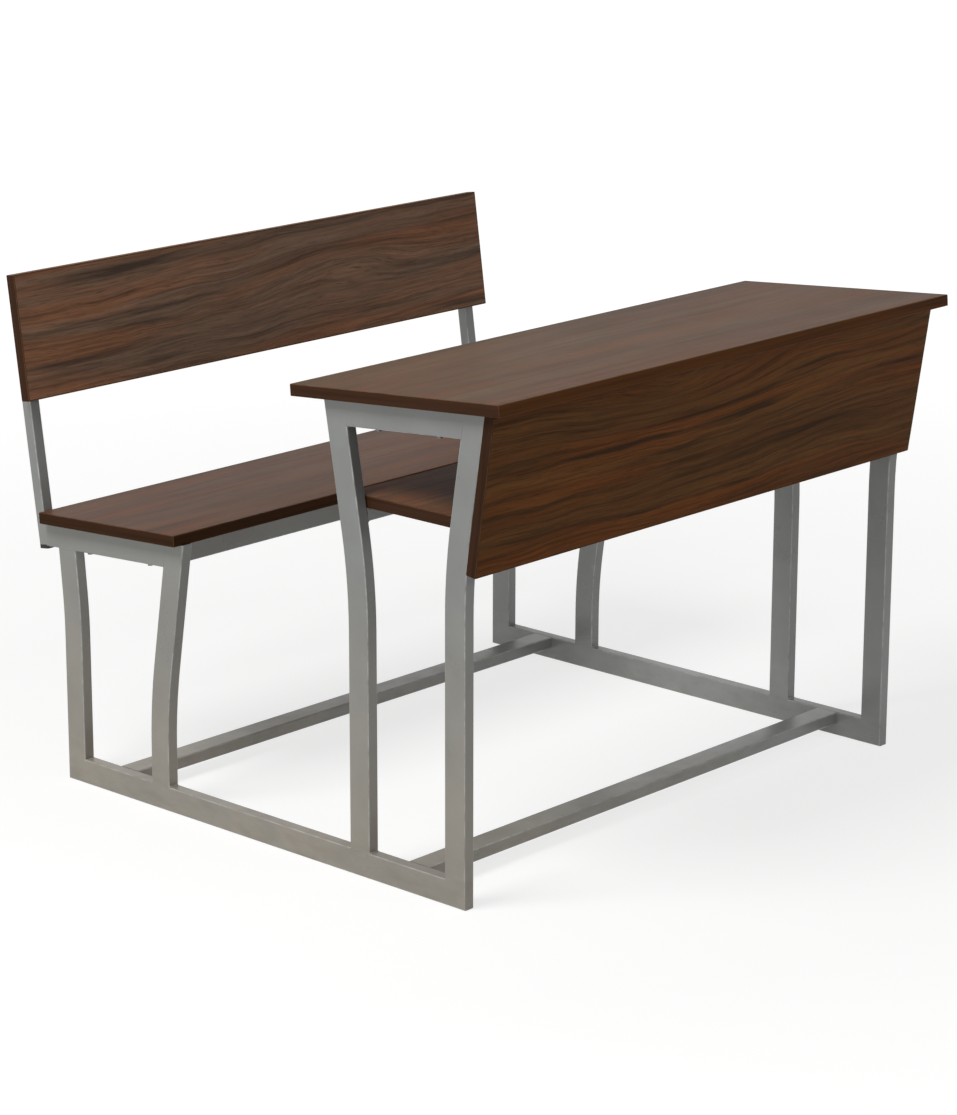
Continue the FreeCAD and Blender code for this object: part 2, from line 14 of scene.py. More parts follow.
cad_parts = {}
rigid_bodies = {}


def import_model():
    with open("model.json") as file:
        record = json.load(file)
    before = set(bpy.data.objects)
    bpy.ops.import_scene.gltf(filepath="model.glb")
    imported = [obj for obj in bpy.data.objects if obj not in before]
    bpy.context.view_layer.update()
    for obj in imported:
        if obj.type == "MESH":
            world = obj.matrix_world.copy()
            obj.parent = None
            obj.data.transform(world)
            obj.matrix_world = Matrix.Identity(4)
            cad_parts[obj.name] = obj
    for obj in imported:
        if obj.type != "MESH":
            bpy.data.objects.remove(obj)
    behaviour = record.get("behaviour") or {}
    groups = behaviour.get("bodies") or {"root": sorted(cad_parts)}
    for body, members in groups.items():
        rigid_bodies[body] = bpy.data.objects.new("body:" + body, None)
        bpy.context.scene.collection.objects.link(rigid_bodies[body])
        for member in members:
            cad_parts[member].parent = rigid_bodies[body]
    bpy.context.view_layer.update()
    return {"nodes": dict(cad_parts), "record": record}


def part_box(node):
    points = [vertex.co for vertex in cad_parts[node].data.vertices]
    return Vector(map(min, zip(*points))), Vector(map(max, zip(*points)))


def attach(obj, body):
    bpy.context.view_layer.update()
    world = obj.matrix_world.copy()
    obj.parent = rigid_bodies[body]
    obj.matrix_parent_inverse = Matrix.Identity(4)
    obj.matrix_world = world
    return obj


for leftover in list(bpy.data.objects):
    bpy.data.objects.remove(leftover, do_unlink=True)
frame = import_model()
nodes = frame["nodes"]

# %% [markdown]
# The camera stands where the photograph was taken from. Its place, direction and lens were fitted to
# straight edges of the desk in the picture, so the render can be laid over it. A camera could also be
# aimed with a Track To constraint, but a fitted roll of a tenth of a degree is easier to write as a
# matrix.

# %% Set up the camera
AZIMUTH = math.radians(-47.583)
ELEVATION = math.radians(15.591)
ROLL = math.radians(0.115)
CAMERA_PLACE = (-3.9899, -3.6484, 1.8499)
LENS_MM = 131.13
SENSOR_MM = 36

back = Vector((
    math.sin(AZIMUTH) * math.cos(ELEVATION),
    -math.cos(AZIMUTH) * math.cos(ELEVATION),
    math.sin(ELEVATION),
))
level_right = Vector((math.cos(AZIMUTH), math.sin(AZIMUTH), 0))
level_up = back.cross(level_right)
right = math.cos(ROLL) * level_right + math.sin(ROLL) * level_up
up = math.cos(ROLL) * level_up - math.sin(ROLL) * level_right

camera_data = bpy.data.cameras.new("photo_camera")
camera_data.lens = LENS_MM
camera_data.sensor_width = SENSOR_MM
camera_data.sensor_fit = "HORIZONTAL"
camera = bpy.data.objects.new("photo_camera", camera_data)
bpy.context.scene.collection.objects.link(camera)
facing_desk = Matrix((right, up, back)).transposed().to_4x4()
camera.matrix_world = Matrix.Translation(CAMERA_PLACE) @ facing_desk
bpy.context.scene.camera = camera
bpy.context.scene.view_settings.view_transform = "Standard"
print("camera at", camera.matrix_world.translation)

# %% [markdown]
# Materials, the world and the floor are all built from shader nodes. A few small helpers keep that short:
# one feeds a socket with either a number or another node's output, one adds a node with its settings and
# inputs, one does sums, and one spreads a range of values over another. A value that is the same all over
# a surface goes straight on the shader's own socket.

# %% Helpers for shader nodes
def feed(tree, socket, value):
    """Link an output to a socket, or set the socket's own value."""
    if isinstance(value, bpy.types.NodeSocket):
        tree.links.new(value, socket)
    else:
        socket.default_value = value


def add_node(tree, kind, inputs=(), **settings):
    """Add a node, set its settings, and feed its inputs by name or number."""
    node = tree.nodes.new(kind)
    for key, value in settings.items():
        setattr(node, key, value)
    for key, value in dict(inputs).items():
        feed(tree, node.inputs[key], value)
    return node


def maths(tree, operation, *values):
    node = add_node(tree, "ShaderNodeMath", enumerate(values), operation=operation)
    return node.outputs[0]


def stretch(tree, value, low, high, to_low=0.0, to_high=1.0):
    """Spread the values from low to high over another range, and hold them there."""
    sockets = {0: value, 1: low, 2: high, 3: to_low, 4: to_high}
    return add_node(tree, "ShaderNodeMapRange", sockets, clamp=True).outputs[0]


print("node helpers ready")

# %% [markdown]
# A studio sweep is a pale floor that runs into a pale background. The world is plain white where the
# camera, a reflection or a see-through surface looks at it, and weaker where it only lights the desk, so
# the picture keeps its white ground without more light on the object.

# %% World
WHITE = (1, 1, 1, 1)
WORLD_FILL = 0.2


def looked_at(tree):
    """One where the camera, a reflection or a see-through surface looks, and zero for light that falls."""
    ray = add_node(tree, "ShaderNodeLightPath").outputs
    seen = maths(tree, "MAXIMUM", ray["Is Camera Ray"], ray["Is Glossy Ray"])
    return maths(tree, "MAXIMUM", seen, ray["Is Transmission Ray"])


world = bpy.data.worlds.new("studio")
bpy.context.scene.world = world
world.use_nodes = True
tree = world.node_tree
tree.nodes.clear()
strength = maths(tree, "MULTIPLY_ADD", looked_at(tree), 1 - WORLD_FILL, WORLD_FILL)
sky = add_node(tree, "ShaderNodeBackground", {"Color": WHITE, "Strength": strength})
add_node(tree, "ShaderNodeOutputWorld", {"Surface": sky.outputs[0]})
print("world fill", WORLD_FILL)

# %% [markdown]
# The floor is a wide disc. It takes the desk's soft shadow as a plain diffuse surface does, and light of
# its own lifts it to white for the camera and in reflections, more so far from the lamps. A weaker share
# of that light falls on the legs, as it does above a pale floor. Its underside is clear, so the desk can
# also be looked at from below.

# %% Floor
FLOOR_RADIUS = 40
FLOOR_SIDES = 96
FLOOR_GREY = (0.36, 0.355, 0.35, 1)
FLOOR_FILL = 0.22
LIT_REACH = 1.0
UNLIT_REACH = 4.0
LIT_GLOW = 0.74
UNLIT_GLOW = 0.97

floor_mesh = bpy.data.meshes.new("floor")
disc = bmesh.new()
bmesh.ops.create_circle(disc, cap_ends=True, segments=FLOOR_SIDES, radius=FLOOR_RADIUS)
disc.to_mesh(floor_mesh)
disc.free()
floor = bpy.data.objects.new("floor", floor_mesh)
bpy.context.scene.collection.objects.link(floor)

floor_paint = bpy.data.materials.new("pale_floor")
floor_paint.use_nodes = True
tree = floor_paint.node_tree
tree.nodes.clear()
matt = add_node(tree, "ShaderNodeBsdfDiffuse", {"Color": FLOOR_GREY})
spot = add_node(tree, "ShaderNodeTexCoord").outputs["Object"]
distance = add_node(tree, "ShaderNodeVectorMath", [(0, spot)], operation="LENGTH").outputs["Value"]
glow = stretch(tree, distance, LIT_REACH, UNLIT_REACH, LIT_GLOW, UNLIT_GLOW)
extra = maths(tree, "SUBTRACT", glow, FLOOR_FILL)
strength = maths(tree, "MULTIPLY_ADD", looked_at(tree), extra, FLOOR_FILL)
lift = add_node(tree, "ShaderNodeEmission", {"Strength": strength})
lit = add_node(tree, "ShaderNodeAddShader", [(0, matt.outputs[0]), (1, lift.outputs[0])])
clear = add_node(tree, "ShaderNodeBsdfTransparent")
below = add_node(tree, "ShaderNodeNewGeometry").outputs["Backfacing"]
both = add_node(tree, "ShaderNodeMixShader", [(0, below), (1, lit.outputs[0]), (2, clear.outputs[0])])
add_node(tree, "ShaderNodeOutputMaterial", {"Surface": both.outputs[0]})
floor_mesh.materials.append(floor_paint)
print("floor radius", FLOOR_RADIUS)

# %% [markdown]
# In the photograph the tops and the near end of the desk are the lightest faces, the front is darker, and
# the desktop and the seat shade the rails below them. A large soft lamp high on the left gives all of
# that. A low one far out on the same side reaches the far legs under the desktop, and a weak one in front
# draws the shadow line between desktop and panel. All are big compared with the tubes, so no shadow has a
# hard edge.

# %% Lamps
DESK_MIDDLE = Vector((0, 0, 0.4))


def soft_lamp(name, place, size, power):
    """A square area lamp that looks at the middle of the desk."""
    data = bpy.data.lights.new(name, "AREA")
    data.shape = "SQUARE"
    data.size = size
    data.energy = power
    lamp = bpy.data.objects.new(name, data)
    bpy.context.scene.collection.objects.link(lamp)
    aim = DESK_MIDDLE - Vector(place)
    lamp.rotation_mode = "QUATERNION"
    lamp.rotation_quaternion = aim.to_track_quat("-Z", "Y")
    lamp.location = place
    return lamp


lamps = [
    soft_lamp("key_lamp", place=(-2.3, 0.3, 3.3), size=1.4, power=76),
    soft_lamp("low_lamp", place=(-8.4, -1.2, 1.5), size=2.8, power=100),
    soft_lamp("front_lamp", place=(0.6, -3.6, 2.9), size=1.6, power=16),
]
print("lamps", [lamp.data.energy for lamp in lamps])

# %% [markdown]
# Effects that several finishes share are node groups. A group gets named sockets from its interface, is
# built once, and is placed in each material with that material's own values. It puts out masks, colours,
# heights or values, and the shader itself stays in the material.

# %% Helpers for node groups
def new_group(name, inputs, outputs):
    """Make a shader node group, and return it with its input and output nodes."""
    group = bpy.data.node_groups.new(name, "ShaderNodeTree")
    for label, kind, value in inputs:
        socket = group.interface.new_socket(label, in_out="INPUT", socket_type=f"NodeSocket{kind}")
        if value is not None:
            socket.default_value = value
    for label, kind in outputs:
        group.interface.new_socket(label, in_out="OUTPUT", socket_type=f"NodeSocket{kind}")
    return group, group.nodes.new("NodeGroupInput").outputs, group.nodes.new("NodeGroupOutput").inputs


def use_group(tree, group, **values):
    """Place a group in a material. Socket names have spaces where the keywords have underscores."""
    node = add_node(tree, "ShaderNodeGroup", node_tree=group)
    for label, value in values.items():
        feed(tree, node.inputs[label.replace("_", " ")], value)
    return node.outputs


print("group helpers ready")

# %% [markdown]
# Corners take the wear on painted tube and on board edges: the coat is thinner there and hands rub it.
# On the tube and the edge bands the same pale corner colour also paints in a highlight line.
# Many scenes use the Pointiness of the mesh for this, which needs many vertices. The desk's corners are
# all rounded or chamfered, so the direction of the surface says enough: on a corner it points between two
# axes. Noise breaks the wear into patches.

# %% Group: corner wear
CORNER_RANGE = (0.25, 0.47)
PATCHES_PER_METRE = 45
BREAKUP_SHARE = 0.35
BREAKUP_RANGE = (0.2, 0.45)


def scaled(tree, place, amount):
    node = add_node(tree, "ShaderNodeVectorMath", {"Vector": place, "Scale": amount}, operation="SCALE")
    return node.outputs[0]


def grain_noise(tree, place, detail, roughness=0.5):
    """Fractal noise at a place that has been scaled already."""
    sockets = {"Vector": place, "Scale": 1, "Detail": detail, "Roughness": roughness}
    return add_node(tree, "ShaderNodeTexNoise", sockets).outputs["Fac"]


corner_wear_and_highlight, inside, outside = new_group(
    "corner_wear_and_highlight",
    [("Vector", "Vector", None), ("Breakup", "Float", 0.5)],
    [("Corner", "Float"), ("Wear And Highlight", "Float")],
)
tree = corner_wear_and_highlight
normal = add_node(tree, "ShaderNodeNewGeometry").outputs["Normal"]
facing = add_node(tree, "ShaderNodeSeparateXYZ", [(0, normal)]).outputs
pairs = [maths(tree, "MULTIPLY", facing[a], facing[b]) for a, b in ((0, 1), (1, 2), (0, 2))]
pairs = [maths(tree, "ABSOLUTE", pair) for pair in pairs]
between = maths(tree, "MAXIMUM", maths(tree, "MAXIMUM", pairs[0], pairs[1]), pairs[2])
corner = stretch(tree, between, *CORNER_RANGE)
patches = grain_noise(tree, scaled(tree, inside["Vector"], PATCHES_PER_METRE), 4, 0.6)
spread = maths(tree, "MULTIPLY", inside["Breakup"], BREAKUP_SHARE)
corner_breakup = stretch(tree, maths(tree, "SUBTRACT", patches, spread), *BREAKUP_RANGE)
feed(tree, outside["Corner"], corner)
feed(tree, outside["Wear And Highlight"], maths(tree, "MULTIPLY", corner, corner_breakup))
print("group", corner_wear_and_highlight.name)

# %% [markdown]
# Nearly every surface has a fine, even texture from how it was made: powder coat flows into a faint
# orange peel, edge band and moulded caps carry a light stipple. One group gives that height at any size,
# with finer specks and a slow mottle for uneven gloss and colour.

# %% Group: fine stipple
SPECKS_PER_PITCH = 3.1
MOTTLES_PER_METRE = 9
SPECK_RANGE = (0.35, 0.65)
MOTTLE_RANGE = (0.3, 0.7)

fine_stipple, inside, outside = new_group(
    "fine_stipple",
    [("Vector", "Vector", None), ("Pitch", "Float", 0.001)],
    [("Height", "Float"), ("Speckle", "Float"), ("Mottle", "Float")],
)
tree = fine_stipple
bumps_per_metre = maths(tree, "DIVIDE", 1, inside["Pitch"])
specks_per_metre = maths(tree, "MULTIPLY", bumps_per_metre, SPECKS_PER_PITCH)
height = grain_noise(tree, scaled(tree, inside["Vector"], bumps_per_metre), 2)
speckle = grain_noise(tree, scaled(tree, inside["Vector"], specks_per_metre), 1)
mottle = grain_noise(tree, scaled(tree, inside["Vector"], MOTTLES_PER_METRE), 4, 0.55)
feed(tree, outside["Height"], height)
feed(tree, outside["Speckle"], stretch(tree, speckle, *SPECK_RANGE))
feed(tree, outside["Mottle"], stretch(tree, mottle, *MOTTLE_RANGE))
print("group", fine_stipple.name)

# %% [markdown]
# The boards carry a printed dark wood grain: long dark streaks that wander along the board, broad lighter
# and redder zones, arches where the cut passed a heart of the tree, fine fibres and short pores. A wood
# texture could be one Wave texture, but its bands are too even. This group lays several noises over each
# other, each drawn out along the grain. The sockets take the board's own slope of grain, its wander and
# its arch.

# %% Group: board grain, its sockets and layers
# For each layer: features per metre along and across the grain, shift of the noise, detail, roughness
GRAIN_LAYERS = {
    "slow_drift": (2.2, 5, 0, 2, 0.5),
    "quick_drift": (9, 22, 5, 2, 0.5),
    "wide_streak": (2.6, 66, 20, 3, 0.6),
    "thin_streak": (3.2, 190, 25, 3, 0.6),
    "zone": (1.2, 16, 31, 3, 0.5),
    "redness": (1.8, 24, 77, 3, 0.5),
    "fibre": (11, 430, 40, 3, 0.6),
    "pore": (34, 1250, 60, 1, 0.5),
}
SEED_STRIDE = 13.7


def vector(tree, x, y, z):
    return add_node(tree, "ShaderNodeCombineXYZ", enumerate((x, y, z))).outputs[0]


board_grain, inside, outside = new_group(
    "board_grain",
    [
        ("Vector", "Vector", None), ("Seed", "Float", 0.0), ("Rise", "Float", 0.0),
        ("Wander", "Float", 0.05), ("Arch", "Float", 0.0), ("Arch Place", "Vector", (0, 0, 0)),
    ],
    [
        ("Streak", "Float"), ("Zone", "Float"), ("Redness", "Float"), ("Fibre", "Float"),
        ("Pore", "Float"), ("Height", "Float"),
    ],
)
tree = board_grain
on_board = add_node(tree, "ShaderNodeSeparateXYZ", [(0, inside["Vector"])]).outputs
along, across = on_board["X"], on_board["Y"]
seed = maths(tree, "MULTIPLY", inside["Seed"], SEED_STRIDE)


def grain_layer(name, cross):
    """The noise of one layer, drawn out along the grain."""
    along_scale, across_scale, shift, detail, roughness = GRAIN_LAYERS[name]
    x = maths(tree, "MULTIPLY", along, along_scale)
    y = maths(tree, "MULTIPLY", cross, across_scale)
    place = vector(tree, x, y, maths(tree, "ADD", seed, shift))
    return grain_noise(tree, place, detail, roughness)


print("grain layers", len(GRAIN_LAYERS))

# %% [markdown]
# All layers have to bend together, as the rings of one tree do. So the board's cross direction is bent
# first, by its slope, a slow and a quick drift, and the hump of the arch. The layers are then drawn in
# that bent direction.

# %% Group: board grain, the bend of the grain
ARCH_LONG = 0.2
ARCH_WIDE = 0.04
QUICK_SHARE = 0.1


def squared(value, centre, reach):
    """How far a value is from a centre, in reaches, squared."""
    return maths(tree, "POWER", maths(tree, "DIVIDE", maths(tree, "SUBTRACT", value, centre), reach), 2)


arch_middle = add_node(tree, "ShaderNodeSeparateXYZ", [(0, inside["Arch Place"])]).outputs
far_along = squared(along, arch_middle["X"], ARCH_LONG)
far_across = squared(across, arch_middle["Y"], ARCH_WIDE)
far = maths(tree, "ADD", far_along, far_across)
hump = maths(tree, "EXPONENT", maths(tree, "MULTIPLY", far, -1))
arch = maths(tree, "MULTIPLY", hump, inside["Arch"])
sloped = maths(tree, "SUBTRACT", across, maths(tree, "MULTIPLY", inside["Rise"], along))
slow = maths(tree, "SUBTRACT", grain_layer("slow_drift", sloped), 0.5)
quick = maths(tree, "SUBTRACT", grain_layer("quick_drift", sloped), 0.5)
drift = maths(tree, "MULTIPLY_ADD", quick, QUICK_SHARE, slow)
bent = maths(tree, "ADD", maths(tree, "MULTIPLY_ADD", drift, inside["Wander"], sloped), arch)
print("arch reaches", ARCH_LONG, "along and", ARCH_WIDE, "across")

# %% [markdown]
# Each layer's noise is cut to the range that gives its width and softness: a narrow range high up leaves
# thin streaks or pores, and a wide one gives soft zones. The dark streak is the stronger of a wide and a
# thin one.

# %% Group: board grain, its outputs
WIDE_STREAK_SHARE = 0.9
THIN_STREAK_SHARE = 0.6
FIBRE_RELIEF = 0.6

wide_streak = stretch(tree, grain_layer("wide_streak", bent), 0.5, 0.7)
thin_streak = stretch(tree, grain_layer("thin_streak", bent), 0.5, 0.68)
wide_streak = maths(tree, "MULTIPLY", wide_streak, WIDE_STREAK_SHARE)
thin_streak = maths(tree, "MULTIPLY", thin_streak, THIN_STREAK_SHARE)
fibre = stretch(tree, grain_layer("fibre", bent), 0.3, 0.7)
pore = stretch(tree, grain_layer("pore", bent), 0.6, 0.7)
feed(tree, outside["Streak"], maths(tree, "MAXIMUM", wide_streak, thin_streak))
feed(tree, outside["Zone"], stretch(tree, grain_layer("zone", bent), 0.36, 0.66))
feed(tree, outside["Redness"], stretch(tree, grain_layer("redness", bent), 0.42, 0.64))
feed(tree, outside["Fibre"], fibre)
feed(tree, outside["Pore"], pore)
feed(tree, outside["Height"], maths(tree, "SUBTRACT", maths(tree, "MULTIPLY", fibre, FIBRE_RELIEF), pore))
print("group", board_grain.name)

# %% [markdown]
# A new material starts with a Principled shader, and the finishes below differ in what they feed it. The
# first helper makes that start, takes the constant values, and hands back the coordinates. Object
# coordinates are in metres here, because every CAD piece sits at the origin with its place in its mesh.
# The others raise a surface with a bump, mix colours, and turn a colour as it is read from a picture into
# the shader's own values.

# %% Helpers for materials
def new_finish(name, **constants):
    """A material with a Principled shader. Returns it with its tree, shader and place on the object."""
    material = bpy.data.materials.new(name)
    material.use_nodes = True
    tree = material.node_tree
    tree.nodes.clear()
    shader = add_node(tree, "ShaderNodeBsdfPrincipled")
    for label, value in constants.items():
        shader.inputs[label.replace("_", " ")].default_value = value
    add_node(tree, "ShaderNodeOutputMaterial", {"Surface": shader.outputs[0]})
    place = add_node(tree, "ShaderNodeTexCoord").outputs["Object"]
    return material, tree, shader.inputs, place


def raise_surface(tree, shader, height, depth, strength):
    bump = add_node(tree, "ShaderNodeBump", {"Height": height, "Distance": depth, "Strength": strength})
    feed(tree, shader["Normal"], bump.outputs[0])


def blend(tree, amount, first, second, way="MIX"):
    """Mix two colours by an amount."""
    node = add_node(tree, "ShaderNodeMix", data_type="RGBA", blend_type=way)
    for number, value in ((0, amount), (6, first), (7, second)):
        feed(tree, node.inputs[number], value)
    return node.outputs[2]


def tint(tree, mask, share, colour, second):
    """Mix a second colour in where a mask says so, by a share at most."""
    return blend(tree, maths(tree, "MULTIPLY", mask, share), colour, second)


def srgb(red, green, blue):
    """A colour as read from a picture, from 0 to 255, in the linear values that shaders use."""
    def linear(value):
        share = value / 255
        return share / 12.92 if share <= 0.04045 else ((share + 0.055) / 1.055) ** 2.4
    return (linear(red), linear(green), linear(blue), 1)


print("finish helpers ready")

# %% [markdown]
# The laminate is a printed paper under a hard clear resin, pressed with a satin plate. Each board was cut
# from another part of the sheet, so each has its own seed, and its own turn that lays the grain flat on
# the board. Gloss at a low angle greys the tops in the photograph, and that comes from the shader's own
# reflection.

# %% Finish: wood-grain laminate
DARK_STREAK = srgb(36, 25, 17)
MID_BROWN = srgb(82, 54, 36)
LIGHT_BROWN = srgb(104, 72, 50)
RED_BROWN = srgb(106, 60, 34)
ZONE_SHARE = 0.9
RED_SHARE = 0.75
PORE_SHARE = 0.5
FIBRE_SHADES = (0.76, 1.2)
FILM_RELIEF = 0.35


def laid_flat(tree, place, turn):
    """The place on a board that is turned flat by an angle in degrees about X."""
    sockets = {"Vector": place, "Rotation": (math.radians(turn), 0, 0)}
    return add_node(tree, "ShaderNodeMapping", sockets).outputs[0]


def laminate(name, turn, seed, tone_and_light_cast, sheen=0.028, streaks=0.5, **grain_values):
    """Laminate for one board, whose cast multiplies the printed colours with its tone and its painted
    light.
    """
    material, tree, shader, place = new_finish(name, Specular_IOR_Level=sheen, IOR=1.5)
    grain = use_group(tree, board_grain, Vector=laid_flat(tree, place, turn), Seed=seed, **grain_values)
    colour = tint(tree, grain["Zone"], ZONE_SHARE, MID_BROWN, LIGHT_BROWN)
    colour = tint(tree, grain["Redness"], RED_SHARE, colour, RED_BROWN)
    colour = tint(tree, grain["Streak"], streaks, colour, DARK_STREAK)
    # The cast paints in this board's light as well as its own tone.
    colour = blend(tree, 1.0, colour, tone_and_light_cast, "MULTIPLY")
    shade = stretch(tree, grain["Fibre"], 0, 1, *FIBRE_SHADES)
    colour = blend(tree, 1.0, colour, vector(tree, shade, shade, shade), "MULTIPLY")
    colour = tint(tree, grain["Pore"], PORE_SHARE, colour, DARK_STREAK)
    feed(tree, shader["Base Color"], colour)
    film = use_group(tree, fine_stipple, Vector=place, Pitch=0.0011)
    gloss = maths(tree, "MULTIPLY_ADD", film["Mottle"], 0.03, 0.39)
    feed(tree, shader["Roughness"], maths(tree, "MULTIPLY_ADD", grain["Fibre"], 0.04, gloss))
    relief = maths(tree, "MULTIPLY_ADD", film["Height"], FILM_RELIEF, grain["Height"])
    raise_surface(tree, shader, relief, depth=0.0001, strength=0.4)
    return material


print("printed browns from", MID_BROWN, "to", LIGHT_BROWN)

# %% [markdown]
# Sheets of one print still differ a little: the panel is the warmest, the backrest greyer, the seat
# paler. A cast of colour for each board gives that, and it also paints light: it lifts the boards that
# get less light, the shelf under the desktop, the seat, and the panel and backrest that face the front,
# and the backrest's strong blue cast paints in a grey sheen. The panel and the backrest, which show their
# faces, also have stronger streaks and an arch in the grain.

# %% Finish: the five boards
PLAIN_TONE_AND_LIGHT_CAST = (1.0, 1.12, 1.02, 1)
AMBER_TONE_AND_LIGHT_CAST = (1.3, 1.2, 0.76, 1)
GREY_SHEEN_AND_LIGHT_CAST = (2.02, 2.72, 3.7, 1)
PALE_TONE_AND_LIGHT_CAST = (1.17, 1.34, 1.6, 1)
SHADE_LIFTING_CAST = (1.55, 1.5, 1.3, 1)
DESKTOP_TURN = 4.5
PANEL_TURN = -98.3
SHELF_TURN = 0
SEAT_TURN = 3.5
BACKREST_TURN = -82

board_finishes = {
    "desktop_board": laminate("desktop_laminate", DESKTOP_TURN, 1.0, PLAIN_TONE_AND_LIGHT_CAST),
    "modesty_panel": laminate(
        "panel_laminate", PANEL_TURN, 2.0, AMBER_TONE_AND_LIGHT_CAST, streaks=0.9,
        Rise=0.02, Wander=0.07, Arch=0.035, Arch_Place=(-0.12, 0.77, 0),
    ),
    "book_shelf": laminate("shelf_laminate", SHELF_TURN, 3.0, SHADE_LIFTING_CAST),
    "seat_board": laminate("seat_laminate", SEAT_TURN, 4.0, PALE_TONE_AND_LIGHT_CAST, sheen=0.035, Rise=0.01),
    "backrest_board": laminate(
        "backrest_laminate", BACKREST_TURN, 5.0, GREY_SHEEN_AND_LIGHT_CAST, sheen=0.07, streaks=0.85,
        Rise=0.02, Wander=0.06, Arch=-0.03, Arch_Place=(0.2, 0.8, 0),
    ),
}
print("laminates", len(board_finishes))

# %% [markdown]
# A plastic band two millimetres thick closes the edges of each board. It is darker than the faces, with a
# weak printed grain that runs along each edge. Its trimmed corners are painted paler, partly wear and
# partly a painted highlight line. The long edges and the ends take a lighter and a darker copy of one
# colour, painted light for how each faces the lamps, and the seat's band is a darker copy still, painted
# shade under the desk. The grain turns with the edge: where the surface faces along X, the band runs
# across the board.

# %% Finish: edge band
LONG_BAND_PAINTED_LIGHT = srgb(96, 58, 28)
END_BAND_PAINTED_SHADE = srgb(66, 43, 30)
SEAT_LONG_BAND_PAINTED_SHADE = srgb(66, 41, 22)
SEAT_END_BAND_PAINTED_SHADE = srgb(62, 39, 24)
BAND_DARK = srgb(36, 22, 13)
BAND_WEAR_AND_HIGHLIGHT = srgb(118, 88, 66)
BAND_STREAK_SHARE = 0.6
BAND_WEAR_AND_HIGHLIGHT_SHARE = 0.5
BAND_FIBRE_RELIEF = 0.5
END_FACING_RANGE = (0.6, 0.75)


def edge_band(name, turn, seed, long_edge_painted_light=LONG_BAND_PAINTED_LIGHT, end_edge_painted_light=END_BAND_PAINTED_SHADE):
    """Band for the edges of one board, turned flat as its laminate is."""
    material, tree, shader, place = new_finish(name, Specular_IOR_Level=0.03, IOR=1.5)
    on_board = add_node(tree, "ShaderNodeSeparateXYZ", [(0, laid_flat(tree, place, turn))]).outputs
    normal = add_node(tree, "ShaderNodeNewGeometry").outputs["Normal"]
    facing = add_node(tree, "ShaderNodeSeparateXYZ", [(0, normal)]).outputs["X"]
    is_end = stretch(tree, maths(tree, "ABSOLUTE", facing), *END_FACING_RANGE)
    ways = {0: is_end, 2: on_board["X"], 3: on_board["Y"]}
    run = add_node(tree, "ShaderNodeMix", ways, data_type="FLOAT").outputs[0]
    edge_place = vector(tree, run, on_board["Z"], 0.0)
    grain = use_group(tree, board_grain, Vector=edge_place, Seed=seed, Wander=0.01)
    film = use_group(tree, fine_stipple, Vector=place, Pitch=0.0008)
    corner_patches = use_group(tree, corner_wear_and_highlight, Vector=place, Breakup=0.3)
    # Painted light: the long edges and the ends take a lighter and a darker copy of one colour, by how each
    # faces the lamps.
    colour = blend(tree, is_end, long_edge_painted_light, end_edge_painted_light)
    colour = tint(tree, grain["Streak"], BAND_STREAK_SHARE, colour, BAND_DARK)
    # Pale corners: partly wear, partly a painted highlight line along the band's trimmed corners.
    colour = tint(tree, corner_patches["Wear And Highlight"], BAND_WEAR_AND_HIGHLIGHT_SHARE, colour, BAND_WEAR_AND_HIGHLIGHT)
    feed(tree, shader["Base Color"], colour)
    feed(tree, shader["Roughness"], maths(tree, "MULTIPLY_ADD", film["Mottle"], 0.1, 0.4))
    relief = maths(tree, "MULTIPLY_ADD", grain["Fibre"], BAND_FIBRE_RELIEF, film["Height"])
    raise_surface(tree, shader, relief, depth=0.00008, strength=0.5)
    return material


band_finishes = {
    "desktop_edge_band": edge_band("desktop_band", DESKTOP_TURN, 11.0),
    "modesty_panel_edge_band": edge_band("panel_band", PANEL_TURN, 12.0),
    "book_shelf_edge_band": edge_band("shelf_band", SHELF_TURN, 13.0),
    "seat_edge_band": edge_band("seat_band", SEAT_TURN, 14.0, SEAT_LONG_BAND_PAINTED_SHADE, SEAT_END_BAND_PAINTED_SHADE),
    "backrest_edge_band": edge_band("backrest_band", BACKREST_TURN, 15.0),
}
print("bands", len(band_finishes))

# %% [markdown]
# The frame has a silver-grey powder coat with a satin sheen. Aluminium flakes in the coat make it partly
# metallic, and it flows into a faint orange peel. Towards the floor a mottled film makes it lighter and
# warmer: dust, and painted light for the warm light the floor throws up. At the far end that film is
# painted paler, which lights the far legs in the desktop's shade. Right at the floor, brownish scuffs
# darken it, partly scuffs and partly painted shade low down by the floor. On the corners of the tube a
# pale colour is partly worn coat and partly a painted highlight line. The welds lie in inside corners
# and grooves, so their coat gets no pale corners.

# %% Finish: silver powder coat
SILVER = srgb(144, 146, 144)
SILVER_PALE = srgb(168, 169, 167)
SILVER_DULL = srgb(135, 136, 133)
SILVER_WEAR_AND_HIGHLIGHT = srgb(204, 205, 203)
FLOOR_DUST_AND_BOUNCE = srgb(176, 165, 148)
FAR_END_PAINTED_LIGHT = srgb(176, 178, 176)
SCUFF_AND_SHADE = srgb(122, 112, 100)
FLAKE_SHARE = 0.06
SCUFF_AND_SHADE_SHARE = 0.3
DUST_AND_BOUNCE_HEIGHTS = (0.05, 0.5)
DUST_AND_BOUNCE_SHARES = (0.5, 0.0)
DUST_AND_BOUNCE_MOTTLE = (0.75, 1.25)
FAR_LIGHT_RANGE = (-0.4, 0.4)
SCUFF_AND_SHADE_TOP = 0.12
SCUFF_AND_SHADE_PER_METRE = (22, 22, 60)


